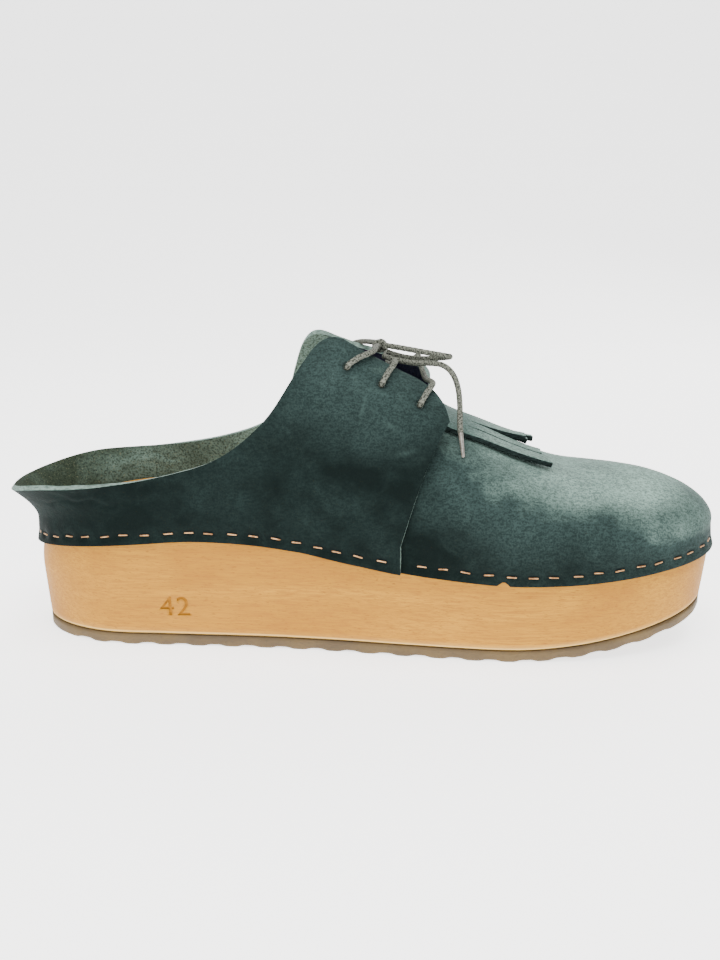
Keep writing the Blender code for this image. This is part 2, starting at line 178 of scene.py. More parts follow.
def wood_side(side, turn, down):
    """The wood's side: down is 0 at the top edge and 1 at the bottom."""
    share = share_at(turn)
    edge = edge_point(side, turn)
    end = (2 * share - 1) ** 4
    end_drawn_in = END_UNDERCUT * down - END_SWELL * ease(down, 0.0, 0.5)
    drawn_in = mix(SIDE_UNDERCUT * down**3, end_drawn_in, end)
    point = edge + inward(side, turn) * drawn_in
    point.z = mix(edge.z, underside(share), down)
    return point


def laid_grid(columns, closed=False):
    """A bmesh grid laid over columns of points, with a UV map in steps of its lines."""
    wide, high = len(columns), len(columns[0])
    bm = bmesh.new()
    bmesh.ops.create_grid(bm, x_segments=wide - 1, y_segments=high - 1, size=0.5)
    places = bm.loops.layers.uv.new("UVMap")
    for face in bm.faces:
        face.smooth = True
        for loop in face.loops:
            loop[places].uv = (loop.vert.co.x + 0.5, loop.vert.co.y + 0.5)
    for vert in bm.verts:
        i, j = round((vert.co.x + 0.5) * (wide - 1)), round((vert.co.y + 0.5) * (high - 1))
        vert.co = columns[i][j]
    if closed:
        bmesh.ops.remove_doubles(bm, verts=bm.verts, dist=WELD)
    return bm


def piece(name, bm, materials, slot, *nodes):
    """Makes the bmesh an object that rides with the shoe and stands for the CAD nodes named."""
    mesh = bpy.data.meshes.new(name)
    bm.to_mesh(mesh)
    bm.free()
    obj = bpy.data.objects.new(name, mesh)
    bpy.context.scene.collection.objects.link(obj)
    for material in materials:
        mesh.materials.append(material)
    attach(obj, "root")
    if nodes:
        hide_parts(*nodes)
    return obj


def shader_of(name):
    """A new material: its tree and its Principled BSDF."""
    material = bpy.data.materials.new(name)
    material.use_nodes = True
    return material, material.node_tree, material.node_tree.nodes["Principled BSDF"]


def add(tree, kind, inputs, **settings):
    """A node whose inputs are values or the sockets of other nodes."""
    node = tree.nodes.new("ShaderNode" + kind)
    for key, value in settings.items():
        setattr(node, key, value)
    wire(tree, node, inputs)
    return node


def wire(tree, node, inputs):
    for key, value in inputs.items():
        if isinstance(value, bpy.types.NodeSocket):
            tree.links.new(value, node.inputs[key])
        else:
            node.inputs[key].default_value = value


def blend_colours(tree, share, first, second):
    return add(tree, "Mix", {0: share, 6: first, 7: second}, data_type="RGBA").outputs[2]


def stretched_noise(tree, scale, detail=3.0, rough=0.5, distortion=0.0):
    """Noise on the object's own coordinates, with a scale for each way."""
    place = add(tree, "TexCoord", {})
    stretch = add(tree, "Mapping", {"Vector": place.outputs["Object"], "Scale": scale})
    wave = {"Vector": stretch.outputs[0], "Scale": 1.0, "Detail": detail, "Roughness": rough}
    return add(tree, "TexNoise", {**wave, "Distortion": distortion}).outputs[0]


def remap(tree, value, low, high, to_low=0.0, to_high=1.0):
    values = {"Value": value, "From Min": low, "From Max": high, "To Min": to_low, "To Max": to_high}
    return add(tree, "MapRange", values).outputs[0]


def attribute(tree, name):
    return add(tree, "Attribute", {}, attribute_name=name).outputs["Fac"]


def combine(tree, operation, first, second):
    return add(tree, "Math", {0: first, 1: second}, operation=operation).outputs[0]


def relief(tree, shader, height, strength, distance):
    node = add(tree, "Bump", {"Height": height, "Strength": strength, "Distance": distance})
    tree.links.new(node.outputs[0], shader.inputs["Normal"])


wood, tree, shader = shader_of("alder")
broad = stretched_noise(tree, (9, 40, 55), 3.0, 0.5, 1.2)
grain = stretched_noise(tree, (70, 900, 1250), 5.0, 0.65, 0.6)
flecks = stretched_noise(tree, (420, 2100, 2700), 2.0, 0.5)
tone = blend_colours(tree, remap(tree, broad, 0.30, 0.70), (0.37, 0.158, 0.007, 1), (0.48, 0.228, 0.013, 1))
tone = blend_colours(tree, remap(tree, grain, 0.42, 0.62, 0.0, 0.75), tone, (0.320, 0.130, 0.012, 1))
tone = blend_colours(tree, remap(tree, flecks, 0.60, 0.72, 0.0, 0.75), tone, (0.210, 0.080, 0.008, 1))
# A pale line along the bottom chamfer is a painted highlight.
tone = blend_colours(tree, attribute(tree, "chamfer_highlight"), tone, (0.850, 0.600, 0.220, 1))
tone = blend_colours(tree, attribute(tree, "worn"), tone, (0.280, 0.140, 0.040, 1))
sanded = remap(tree, grain, 0.3, 0.7, 0.50, 0.64)
wire(tree, shader, {"Base Color": tone, "Roughness": sanded, "Specular IOR Level": 0.2})
relief(tree, shader, combine(tree, "ADD", grain, flecks), 0.45, 0.0002)

sections = []
for turn in spread(170, 0.0, 1.0):
    share = share_at(turn)
    downs = [1.0] + [0.982] + spread(22, 0.965, 0.035)
    sides = {side: [wood_side(side, turn, down) for down in downs] for side in (INNER, OUTER)}
    for side, row in sides.items():
        way = inward(side, turn)
        row[0] += way * CHAMFER
        row[1] += way * 0.0003
        edge = edge_point(side, turn)
        for angle in (0.2, 0.5, 0.8, 1.1, 1.4):
            point = edge + way * EDGE_ROUND * (1 - math.cos(angle))
            row.append(point - UP * EDGE_ROUND * (1 - math.sin(angle)))
    start, end = sides[INNER][-1], sides[OUTER][-1]
    width = (end - start).length / BALL_WIDTH
    cup = BED_DEPTH * min(width / 0.6, 1.0) ** 0.7
    arch = ARCH_FILL * ease(share, 0.30, 0.45) * (1 - ease(share, 0.50, 0.66))
    bed = []
    for v in spread(30, -1.0, 1.0)[1:-1]:
        bed.append(start.lerp(end, (v + 1) / 2) - UP * cup * (1 - v**4) * (1 - arch * max(-v, 0.0)))
    bottom = [sides[OUTER][0].lerp(sides[INNER][0], v) for v in spread(6, 0.0, 1.0)[1:]]
    sections.append(sides[INNER] + bed + sides[OUTER][::-1] + bottom)
bm = laid_grid(sections)
chamfer_highlight = bm.verts.layers.float.new("chamfer_highlight")
worn = bm.verts.layers.float.new("worn")
for vert in bm.verts:
    share = vert.co.x / BASE_LENGTH + 0.5
    above = vert.co.z - underside(min(max(share, 0.0), 1.0))
    edge = along(EDGE_LINE, share) * EDGE_HEIGHT
    vert[chamfer_highlight] = 0.85 * bump(above, 0.0006, 0.0007)
    if vert.co.z > edge - 0.010:
        off_axis = abs(vert.co.y) / BALL_WIDTH
        vert[worn] = 0.35 * bump(share, 0.12, 0.12) * (1 - ease(off_axis, 0.1, 0.3))
bmesh.ops.remove_doubles(bm, verts=bm.verts, dist=WELD)
bmesh.ops.recalc_face_normals(bm, faces=bm.faces)
# The digits' floor is painted darker, as shade in the pressed recess.
recess_shaded_wood, tree, shader = shader_of("alder_recess_shade")
fibres = stretched_noise(tree, (70, 900, 1250), 5.0, 0.65, 0.6)
tone = blend_colours(tree, remap(tree, fibres, 0.42, 0.62), (0.33, 0.138, 0.008, 1), (0.25, 0.100, 0.006, 1))
wire(tree, shader, {"Base Color": tone, "Roughness": 0.55, "Specular IOR Level": 0.1})
wooden_base = piece("wooden_base", bm, [wood, recess_shaded_wood], "wood", "platform")


def settle(obj):
    """Applies an object's modifiers to its mesh."""
    bpy.context.view_layer.update()
    result = bpy.data.meshes.new_from_object(obj.evaluated_get(bpy.context.evaluated_depsgraph_get()))
    obj.modifiers.clear()
    obj.data = result


# A plain number is pressed into the wood low on the inner side of the heel.
# Its floor is painted a little darker than the sanded wood, as shade in the pressed recess, and it keeps the
# grain.
SIZE_PLACE = (-0.0812, 0.0180)
DIGIT_SIZE = 0.0125
PRESS_DEPTH = 0.0006
digits = bpy.data.objects.new("size_digits", bpy.data.curves.new("size_digits", "FONT"))
digits.data.body = "42"
digits.data.size = DIGIT_SIZE
digits.data.extrude = PRESS_DEPTH
digits.data.space_character = 1.1
digits.data.align_x = "CENTER"
digits.data.align_y = "CENTER"
bpy.context.scene.collection.objects.link(digits)
size_share = SIZE_PLACE[0] / BASE_LENGTH + 0.5
size_turn = turn_at(size_share)
size_top = edge_point(INNER, size_turn).z
size_down = (size_top - SIZE_PLACE[1]) / (size_top - underside(size_share))
ahead = wood_side(INNER, size_turn + 0.02, size_down) - wood_side(INNER, size_turn - 0.02, size_down)
upwards = wood_side(INNER, size_turn, size_down - 0.1) - wood_side(INNER, size_turn, size_down + 0.1)
ahead.normalize()
out = ahead.cross(upwards).normalized()
turned = Matrix((ahead, out.cross(ahead), out)).transposed().to_4x4()
digits.matrix_world = Matrix.Translation(wood_side(INNER, size_turn, size_down)) @ turned
bpy.context.view_layer.update()
stamp_mesh = bpy.data.meshes.new_from_object(digits.evaluated_get(bpy.context.evaluated_depsgraph_get()))
stamp_mesh.transform(digits.matrix_world)
stamp_mesh.materials.clear()
for material in (wood, recess_shaded_wood):
    stamp_mesh.materials.append(material)
for face in stamp_mesh.polygons:
    face.material_index = 1
stamp = bpy.data.objects.new("size_stamp", stamp_mesh)
bpy.context.scene.collection.objects.link(stamp)
press = wooden_base.modifiers.new("press", "BOOLEAN")
press.operation = "DIFFERENCE"
press.solver = "EXACT"
press.object = stamp
settle(wooden_base)
for helper in (digits, stamp):
    bpy.data.objects.remove(helper, do_unlink=True)

# The outsole is one sheet of brown gum rubber, glued under the wood.
# Its tread is a row of low, slightly uneven waves that run across the shoe, and its cut sides are dull.
TREAD_DEPTH = 0.0010
WAVES = 18
rubber, tree, shader = shader_of("gum_rubber")
cloud = stretched_noise(tree, (45, 45, 90), 4.0, 0.6)
speck = stretched_noise(tree, (900, 900, 900), 3.0, 0.6)
tone = blend_colours(tree, remap(tree, cloud, 0.35, 0.65), (0.07, 0.043, 0.014, 1), (0.125, 0.08, 0.028, 1))
tone = blend_colours(tree, remap(tree, speck, 0.55, 0.75, 0.0, 0.5), tone, (0.035, 0.022, 0.009, 1))
wire(tree, shader, {"Base Color": tone, "Roughness": remap(tree, cloud, 0.3, 0.7, 0.60, 0.78)})
relief(tree, shader, speck, 0.4, 0.0002)
sections = []
for turn in spread(360, 0.0, 1.0):
    share = share_at(turn)
    phase = (share - 0.05) / 0.9 * WAVES
    wave = ease(0.5 - 0.5 * math.cos(2 * math.pi * phase), 0.10, 0.95) if 0.05 < share < 0.95 else 0.0
    rows = {}
    for side in (INNER, OUTER):
        top = wood_side(side, turn, 1.0) - UP * GAP
        uneven = 0.8 + 0.2 * noise.noise(Vector((share * 31, side * 3.7, 0)))
        low = top - UP * (RUBBER - TREAD_DEPTH * wave * uneven)
        swell = inward(side, turn) * 0.0004 * noise.noise(Vector((share * 70, side * 5.1, 2)))
        foot = low + inward(side, turn) * 0.0005
        rows[side] = [top, mix(top, low, 0.3) + swell, mix(top, low, 0.8) + swell, foot]
    inner, outer = rows[INNER], rows[OUTER]
    upper_face = [inner[0].lerp(outer[0], v) for v in spread(6, 0.0, 1.0)[1:-1]]
    lower_face = [outer[3].lerp(inner[3], v) for v in spread(6, 0.0, 1.0)[1:-1]]
    sections.append(inner[::-1] + upper_face + outer + lower_face + [inner[3]])
bm = laid_grid(sections, True)
bmesh.ops.recalc_face_normals(bm, faces=bm.faces)
piece("rubber_outsole", bm, [rubber], "rubber", "outsole")

# The upper is cut from thick green nubuck: its outside is sanded to a short nap, painted paler on top,
# partly as wear and partly as painted light from above; its inside is the rough flesh side, and its cut
# edges are painted pale as a highlight, with painted shade near the leather's lower edge.
# One last surface shapes all its pieces.
INSTEP_HEIGHT = 0.129
LEATHER = 0.0023
WRAP = 0.0115
HEEL_FLARE = 0.0072
FLARE_HEIGHT = 0.0110
# Exponents of the sections: 2 is an ellipse
VAMP_FULLNESS = 2.2
TOE_FULLNESS = 1.76
FLAP_FULLNESS = 2.05
NEARBY = 0.004
# Share of the length, heights of the vamp's ridge and of the flaps' own: shares of INSTEP_HEIGHT
RIDGE = (
    (0.00, 0.930, 1.130),
    (0.30, 0.930, 1.100),
    (0.40, 0.925, 1.060),
    (0.45, 0.905, 1.022),
    (0.50, 0.862, 0.962),
    (0.57, 0.765, 0.878),
    (0.61, 0.712, 0.820),
    (0.65, 0.676, 0.757),
    (0.70, 0.624, 0.702),
    (0.74, 0.588, 0.670),
    (0.79, 0.556, 0.645),
    (0.84, 0.552, 0.635),
    (0.88, 0.550, 0.630),
    (1.00, 0.540, 0.620),
)


def section_power(turn, flaps):
    """The power that shapes a section, fuller over the ball than round the toe."""
    toe = ease(share_at(turn), 0.80, 0.97)
    return 2 / (FLAP_FULLNESS if flaps else mix(VAMP_FULLNESS, TOE_FULLNESS, toe))


def last_point(side, turn, climb, flaps=False):
    """The last: climb is -1 at the leather's lower edge, 0 at the wood's top edge and 1 at the ridge."""
    edge = edge_point(side, turn)
    share = share_at(turn)
    if climb < 0:
        return wood_side(side, turn, -climb * WRAP / (edge.z - underside(share)))
    ridge_share = fanned(share)
    height = along(RIDGE, ridge_share, 2 if flaps else 1) * INSTEP_HEIGHT
    power = section_power(turn, flaps)
    angle = min(climb, 1.0) * math.pi / 2
    rise = (height - edge.z) * math.sin(angle) ** power
    level = Vector((BASE_LENGTH * (ridge_share - 0.5) - edge.x, swing(ridge_share) - edge.y, 0))
    flare = HEEL_FLARE * (1 - ease(share, 0.0, 0.2)) * (rise / FLARE_HEIGHT) ** 1.6
    return edge + level * (1 - max(math.cos(angle), 0.0) ** power) - level.normalized() * flare + UP * rise


def climb_at(side, turn, height, flaps):
    """The climb that reaches a height."""
    edge = edge_point(side, turn).z
    ridge = along(RIDGE, fanned(share_at(turn)), 2 if flaps else 1) * INSTEP_HEIGHT
    share = min(max((height - edge) / (ridge - edge), 0.0), 1.0)
    return math.asin(share ** (1 / section_power(turn, flaps))) * 2 / math.pi


def surface_normal(side, turn, climb, flaps):
    low, high = max(turn - NEARBY, 0), min(turn + NEARBY, 1)
    down, up = max(climb - NEARBY, -1), min(climb + NEARBY, 1)
    forward = last_point(side, high, climb, flaps) - last_point(side, low, climb, flaps)
    upward = last_point(side, turn, up, flaps) - last_point(side, turn, down, flaps)
    return forward.cross(upward).normalized() * -side


def over_last(side, turn, climb, lift, flaps=False):
    """A point that stands off the last by a lift."""
    if climb >= 1:
        normal = surface_normal(INNER, turn, 1, flaps) + surface_normal(OUTER, turn, 1, flaps)
        return last_point(side, turn, 1, flaps) + normal.normalized() * lift
    return last_point(side, turn, climb, flaps) + surface_normal(side, turn, climb, flaps) * lift


def quarter_lift(turn):
    """The quarters lie on the wood behind and over the vamp in front."""
    return GAP + (GAP + LEATHER) * ease(share_at(turn), 0.40, 0.475)


# Copper-coloured staples hold the leather to the wood, in a hand's uneven row all round.
# Each crown lies in the dimple that it pulls into the leather, where painted shade darkens the leather round
# it.
STAPLE_CLIMB = -0.66
STAPLE_PITCH = 0.0089
CROWN = (0.0042, 0.00062, 0.0006)
QUARTER_CORNER = 0.552
STAPLE_DENT = 0.00085
random.seed(7)
outline = [(INNER, turn) for turn in spread(500, 0.0, 1.0)]
outline += [(OUTER, turn) for turn in spread(500, 1.0, 0.0)[1:]]


def staple_seat(side, turn):
    """A place on the leather: on the quarter behind its lower front corner, and on the vamp ahead of it."""
    behind = share_at(turn) < QUARTER_CORNER
    lift = quarter_lift(turn) if behind else GAP
    return over_last(side, turn, STAPLE_CLIMB, lift + LEATHER, behind)


path = [staple_seat(side, turn) for side, turn in outline]
reach = [0.0]
for before, after in zip(path, path[1:]):
    reach.append(reach[-1] + (after - before).length)
count = round(reach[-1] / STAPLE_PITCH)
seats = []
bm = bmesh.new()
for number in range(count):
    wanted = (number + 0.5 + random.uniform(-0.09, 0.09)) / count * reach[-1]
    i = bisect_right(reach, wanted) - 1
    side, turn = outline[i]
    seat = path[i].lerp(path[i + 1], (wanted - reach[i]) / (reach[i + 1] - reach[i]))
    seat += UP * random.uniform(-0.0004, 0.0004)
    if side == INNER and abs(share_at(turn) - QUARTER_CORNER) < 0.007:
        continue
    way = (path[i + 1] - path[i]).normalized()
    out = surface_normal(side, min(max(turn, 0.006), 0.994), STAPLE_CLIMB, False)
    up = out.cross(way).normalized()
    tilt = random.uniform(-0.09, 0.09)
    way, up = way * math.cos(tilt) + up * math.sin(tilt), up * math.cos(tilt) - way * math.sin(tilt)
    seats.append((seat, way, up, out))
    crown = bmesh.ops.create_cube(bm, size=1.0)["verts"]
    bmesh.ops.scale(bm, vec=CROWN, verts=crown)
    ends = [vert for vert in crown if abs(vert.co.x) > 0.001 and vert.co.z > 0]
    for vert in ends:
        vert.co.x *= 0.90
    turned = Matrix((way, up, out)).transposed().to_4x4()
    bmesh.ops.transform(bm, matrix=Matrix.Translation(seat - out * 0.00065) @ turned, verts=crown)
bmesh.ops.bevel(bm, geom=bm.edges[:], offset=0.00022, segments=2, profile=0.5, affect="EDGES", material=-1)
bmesh.ops.recalc_face_normals(bm, faces=bm.faces)
for face in bm.faces:
    face.smooth = True
copper, tree, shader = shader_of("coppered_staple")
tarnish = stretched_noise(tree, (420, 420, 420), 3.0, 0.6)
tone = blend_colours(tree, remap(tree, tarnish, 0.40, 0.62), (0.52, 0.30, 0.14, 1), (0.26, 0.13, 0.055, 1))
dulled = remap(tree, tarnish, 0.3, 0.7, 0.30, 0.55)
wire(tree, shader, {"Base Color": tone, "Metallic": 0.75, "Roughness": dulled})
piece("staples", bm, [copper], None)

seat_tree = kdtree.KDTree(len(seats))
for number, (seat, *_) in enumerate(seats):
    seat_tree.insert(seat, number)
seat_tree.balance()


def staple_pull(point):
    """How deep a staple pulls the leather at a point, and how much painted shade darkens its dimple there.
    """
    _, number, distance = seat_tree.find(point)
    if distance > 0.007:
        return 0.0, 0.0
    seat, way, up, _ = seats[number]
    offset = point - seat
    far = (offset.dot(way) / 0.0034) ** 2 + (offset.dot(up) / 0.0018) ** 2
    core = (offset.dot(way) / 0.0027) ** 4 + ((offset.dot(up) - 0.0003) / 0.0010) ** 4
    return STAPLE_DENT * math.exp(-far), math.exp(-core)


CREASE_DEPTH = 0.0018
# Creases: side, place in millimetres along and up, length, width, share of CREASE_DEPTH and tilt
CREASES = (
    (-1, -128.0, 62.8, 9.0, 1.1, 0.30, 0.10),
    (-1, -116.0, 64.0, 13.0, 1.2, 0.34, -0.06),
    (-1, -104.0, 63.2, 11.0, 1.3, 0.28, 0.08),
    (-1, -124.0, 66.5, 10.0, 1.6, 0.30, 0.16),
    (-1, -92.0, 65.5, 14.0, 1.8, 0.22, -0.05),
    (-1, -30.0, 88.0, 30.0, 5.0, 0.30, 0.95),
    (-1, 40.0, 66.0, 26.0, 4.0, 0.25, -0.50),
    (-1, 78.0, 62.0, 22.0, 3.4, 0.22, -0.25),
    (1, -118.0, 63.5, 12.0, 1.3, 0.32, 0.05),
    (1, -101.0, 64.5, 12.0, 1.2, 0.28, -0.10),
    (1, -26.0, 90.0, 28.0, 5.0, 0.30, 0.90),
    (1, 52.0, 64.0, 26.0, 4.0, 0.25, -0.40),
)


def crease_depth(point):
    """Soft troughs with a faint ridge above each."""
    total = 0.0
    for side, x, z, length, width, depth, tilt in CREASES:
        if side * point.y < 0.004:
            continue
        dx, dz = point.x * 1000 - x, point.z * 1000 - z
        if abs(dx) > length * 1.6 or abs(dz) > length * 1.6:
            continue
        run = dx * math.cos(tilt) + dz * math.sin(tilt)
        off = dz * math.cos(tilt) - dx * math.sin(tilt) + 0.9 * math.sin(run * 0.45 + x)
        fall = bump(run, 0.0, length * 0.6)
        total += depth * fall * (bump(off, 0.0, width) - 0.45 * bump(off, width * 1.9, width))
    return total * CREASE_DEPTH


def hand_made(point):
    """The low unevenness of leather drawn over a last by hand."""
    return 0.00022 * noise.noise(point * 38) + 0.00008 * noise.noise(point * 130)


nap = bpy.data.node_groups.new("nubuck_nap", "ShaderNodeTree")
nap.interface.new_socket("Vector", in_out="INPUT", socket_type="NodeSocketVector")
for name in ("Clouds", "Rubs", "Nap", "Height"):
    nap.interface.new_socket(name, in_out="OUTPUT", socket_type="NodeSocketFloat")
source = nap.nodes.new("NodeGroupInput").outputs[0]
target = nap.nodes.new("NodeGroupOutput")


def nap_noise(scale, detail, rough, distortion=0.0):
    place = add(nap, "Mapping", {"Vector": source, "Scale": scale}).outputs[0]
    values = {"Vector": place, "Scale": 1.0, "Detail": detail, "Roughness": rough, "Distortion": distortion}
    return add(nap, "TexNoise", values).outputs[0]


clouds = combine(nap, "ADD", nap_noise((26, 26, 32), 2.0, 0.5, 0.4), nap_noise((85, 85, 95), 2.0, 0.5))
rubs = remap(nap, nap_noise((60, 60, 60), 6.0, 0.72, 0.8), 0.52, 0.74)
fibre = combine(nap, "ADD", nap_noise((1500, 1500, 1500), 2.0, 0.5), nap_noise((520, 900, 1100), 3.0, 0.6))
height = combine(nap, "ADD", combine(nap, "MULTIPLY", fibre, 0.6), nap_noise((330, 330, 330), 3.0, 0.55))
wire(nap, target, {"Clouds": remap(nap, clouds, 0.72, 1.28), "Rubs": rubs})
wire(nap, target, {"Nap": remap(nap, fibre, 0.7, 1.3), "Height": height})


def nubuck(name, deep, plain, pale, rubbed):
    """Nubuck that goes from deep over plain to pale as its attribute of wear and painted light grows."""
    material, tree, shader = shader_of(name)
    place = add(tree, "TexCoord", {}).outputs["Object"]
    group = add(tree, "Group", {}, node_tree=nap)
    tree.links.new(place, group.inputs["Vector"])
    clouds, rubs, fine, height = (group.outputs[key] for key in ("Clouds", "Rubs", "Nap", "Height"))
    # This attribute is partly wear and partly painted light: paler where the light from above falls.
    wear_and_painted_light = attribute(tree, "wear_and_painted_light")
    mottle = combine(tree, "MULTIPLY", combine(tree, "SUBTRACT", clouds, 0.5), 0.15)
    wear_and_light_tone = combine(tree, "ADD", wear_and_painted_light, mottle)
    tone = blend_colours(tree, remap(tree, wear_and_light_tone, 0.0, 0.5), deep, plain)
    tone = blend_colours(tree, remap(tree, wear_and_light_tone, 0.5, 1.0), tone, pale)
    rubbing = combine(tree, "MULTIPLY", rubs, remap(tree, wear_and_painted_light, 0.0, 0.8, 0.06, 0.30))
    tone = blend_colours(tree, rubbing, tone, rubbed)
    tone = blend_colours(tree, remap(tree, fine, 0.20, 0.75, 0.55, 0.0), tone, (0.002, 0.005, 0.005, 1))
    tone = blend_colours(tree, attribute(tree, "scratch"), tone, rubbed)
    # The pit attribute is painted shade in the staple dimples and round the eyelet holes.
    tone = blend_colours(tree, attribute(tree, "pit_shade"), tone, (0.004, 0.007, 0.007, 1))
    wire(tree, shader, {"Base Color": tone, "Roughness": remap(tree, clouds, 0.0, 1.0, 0.62, 0.80)})
    wire(tree, shader, {"Sheen Weight": 0.03, "Sheen Roughness": 0.40, "Sheen Tint": (0.50, 0.68, 0.62, 1)})
    shader.inputs["Specular IOR Level"].default_value = 0.04
    relief(tree, shader, height, 0.50, 0.00040)
    return material


green = nubuck(
    "green_nubuck",
    deep=(0.0030, 0.0065, 0.0058, 1),
    plain=(0.029, 0.049, 0.046, 1),
    pale=(0.300, 0.450, 0.390, 1),
    rubbed=(0.080, 0.130, 0.118, 1),
)
flesh, tree, shader = shader_of("flesh_side")
coarse = stretched_noise(tree, (1150, 1150, 1150), 3.0, 0.6)
patches = stretched_noise(tree, (40, 40, 60), 3.0, 0.6)
hairs = stretched_noise(tree, (1300, 1300, 1300), 2.0, 0.5)
forwards = add(tree, "SeparateXYZ", {0: add(tree, "TexCoord", {}).outputs["Object"]}).outputs[0]
# The flesh side is painted lighter towards the front, as light reaching in, and deeper inside the heel as
# shade, with random patches.
painted_light_and_patches = remap(tree, forwards, -0.13, -0.02)
painted_light_and_patches = combine(tree, "ADD", painted_light_and_patches, combine(tree, "SUBTRACT", patches, 0.5))
tone = blend_colours(tree, painted_light_and_patches, (0.028, 0.040, 0.026, 1), (0.230, 0.345, 0.295, 1))
tone = blend_colours(tree, remap(tree, coarse, 0.44, 0.64, 0.0, 0.75), tone, (0.009, 0.014, 0.010, 1))
tone = blend_colours(tree, remap(tree, hairs, 0.60, 0.74, 0.0, 0.5), tone, (0.160, 0.170, 0.100, 1))
# The flesh side is painted dark navy near the lace holes.
tone = blend_colours(tree, attribute(tree, "navy_near_laces"), tone, (0.018, 0.018, 0.040, 1))
wire(tree, shader, {"Base Color": tone, "Roughness": 0.9, "Specular IOR Level": 0.1})
relief(tree, shader, combine(tree, "ADD", coarse, combine(tree, "MULTIPLY", hairs, 0.4)), 0.7, 0.0006)
highlit_cut_edge, tree, shader = shader_of("highlit_cut_edge")
layers = stretched_noise(tree, (500, 500, 1500), 3.0, 0.6)
tone = blend_colours(tree, remap(tree, layers, 0.35, 0.65), (0.06, 0.10, 0.084, 1), (0.19, 0.275, 0.235, 1))
# The cut edges are painted pale as a highlight, and painted darker near the leather's lower edge as shade.
tone = blend_colours(tree, attribute(tree, "low"), tone, (0.012, 0.020, 0.020, 1))
wire(tree, shader, {"Base Color": tone, "Roughness": 0.85})
relief(tree, shader, layers, 0.4, 0.0003)


def leather_sheet(name, bm, welded_at_ridge, paint, slot, node, thickness=LEATHER):
    """Turns a laid grid outwards, dents and paints it, and gives it thickness with soft cut edges."""
    if welded_at_ridge:
        bmesh.ops.remove_doubles(bm, verts=bm.verts, dist=WELD)
    bmesh.ops.dissolve_degenerate(bm, dist=0.00001, edges=bm.edges)
    keys = ("wear_and_painted_light", "pit_shade", "scratch", "navy_near_laces", "low")
    layers = {key: bm.verts.layers.float.new(key) for key in keys}
    bm.normal_update()
    if sum(vert.normal.dot(vert.co - Vector((vert.co.x, 0, 0.03))) for vert in bm.verts) < 0:
        bmesh.ops.reverse_faces(bm, faces=bm.faces)
        bm.normal_update()
    moves = []
    for vert in bm.verts:
        values, dent = paint(vert.co)
        for key, value in values.items():
            vert[layers[key]] = value
        moves.append(vert.normal * dent)
    for vert, move in zip(bm.verts, moves):
        vert.co -= move
    obj = piece(name, bm, [green, flesh, highlit_cut_edge], slot, node)
    wall = obj.modifiers.new("wall", "SOLIDIFY")
    wall.thickness = thickness
    wall.offset = -1
    wall.material_offset = 1
    wall.material_offset_rim = 2
    settle(obj)
    rounding = obj.modifiers.new("rounding", "BEVEL")
    rounding.width = 0.0004
    rounding.segments = 2
    rounding.limit_method = "ANGLE"
    rounding.angle_limit = math.radians(55)
    settle(obj)
    return obj


# The vamp is one piece of nubuck, wetted and drawn over the toe of the last, and stapled round the toe.
# Its rear runs up the instep as the tongue, under the flaps. A small nick is cut in its lower edge.
# Climb, and the share of the length where the rear edge lies
VAMP_REAR = (
    (-1.00, 0.490),
    (0.00, 0.490),
    (0.35, 0.498),
    (0.58, 0.510),
    (0.76, 0.472),
    (0.88, 0.447),
    (1.00, 0.440),
)
NICK = 0.688
NICK_HALF = 0.0062
columns = []
for station in spread(420, -1.0, 1.0):
    side = OUTER if station > 0 else INNER
    column = []
    for row in spread(20, -1.0, -0.05) + spread(58, 0.0, 1.0):
        turn = mix(1.0, turn_at(along(VAMP_REAR, row)), abs(station))
        climb = row
        if side == INNER and row < 0:
            nick = 0.15 * math.sqrt(max(1 - ((share_at(turn) - NICK) / NICK_HALF) ** 2, 0.0))
            climb = row * (1 - nick)
        column.append(over_last(side, turn, climb, GAP + LEATHER))
    columns.append(column)
bm = laid_grid(columns)


def vamp_paint(point):
    """The vamp is painted pale on top of the toe and under the kiltie's strips, partly as wear and partly as
    painted light from above, deep along its foot, and darker at its rear as painted shade under the kiltie
    and the flaps.
    """
    share = point.x / BASE_LENGTH + 0.5
    rise = (point.z - 0.040) / (along(RIDGE, min(share, 1.0)) * INSTEP_HEIGHT - 0.040)
    # Painted light: the vamp grows paler with height and on the toe's top; its rear is painted darker as
    # shade under the kiltie and the flaps.
    wear_and_painted_light = 0.10 + 0.42 * ease(rise, -0.05, 0.65) + 0.20 * ease(rise, 0.60, 1.0)
    wear_and_painted_light += 0.20 * ease(share, 0.76, 0.96) * (1 - ease(rise, 0.35, 0.85))
    wear_and_painted_light += 0.26 * bump(share, 0.885, 0.055) * bump(rise, 0.88, 0.20)
    wear_and_painted_light += 0.14 * bump(share, 0.79, 0.05) * bump(rise, 0.92, 0.18)
    wear_and_painted_light -= 0.10 * bump(share, 0.80, 0.06) * bump(rise, 0.40, 0.22)
    wear_and_painted_light -= 0.24 * (1 - ease(share, 0.56, 0.70))
    depth, painted_shade = staple_pull(point)
    dent = depth + crease_depth(point) + hand_made(point)
    # Painted shade on the cut edge near the leather's lower edge.
    low = ease(0.034 - point.z + 0.016, 0.0, 0.004)
    return {"wear_and_painted_light": wear_and_painted_light, "pit_shade": painted_shade, "low": low}, dent


leather_sheet("vamp_leather", bm, True, vamp_paint, "upper", "vamp")

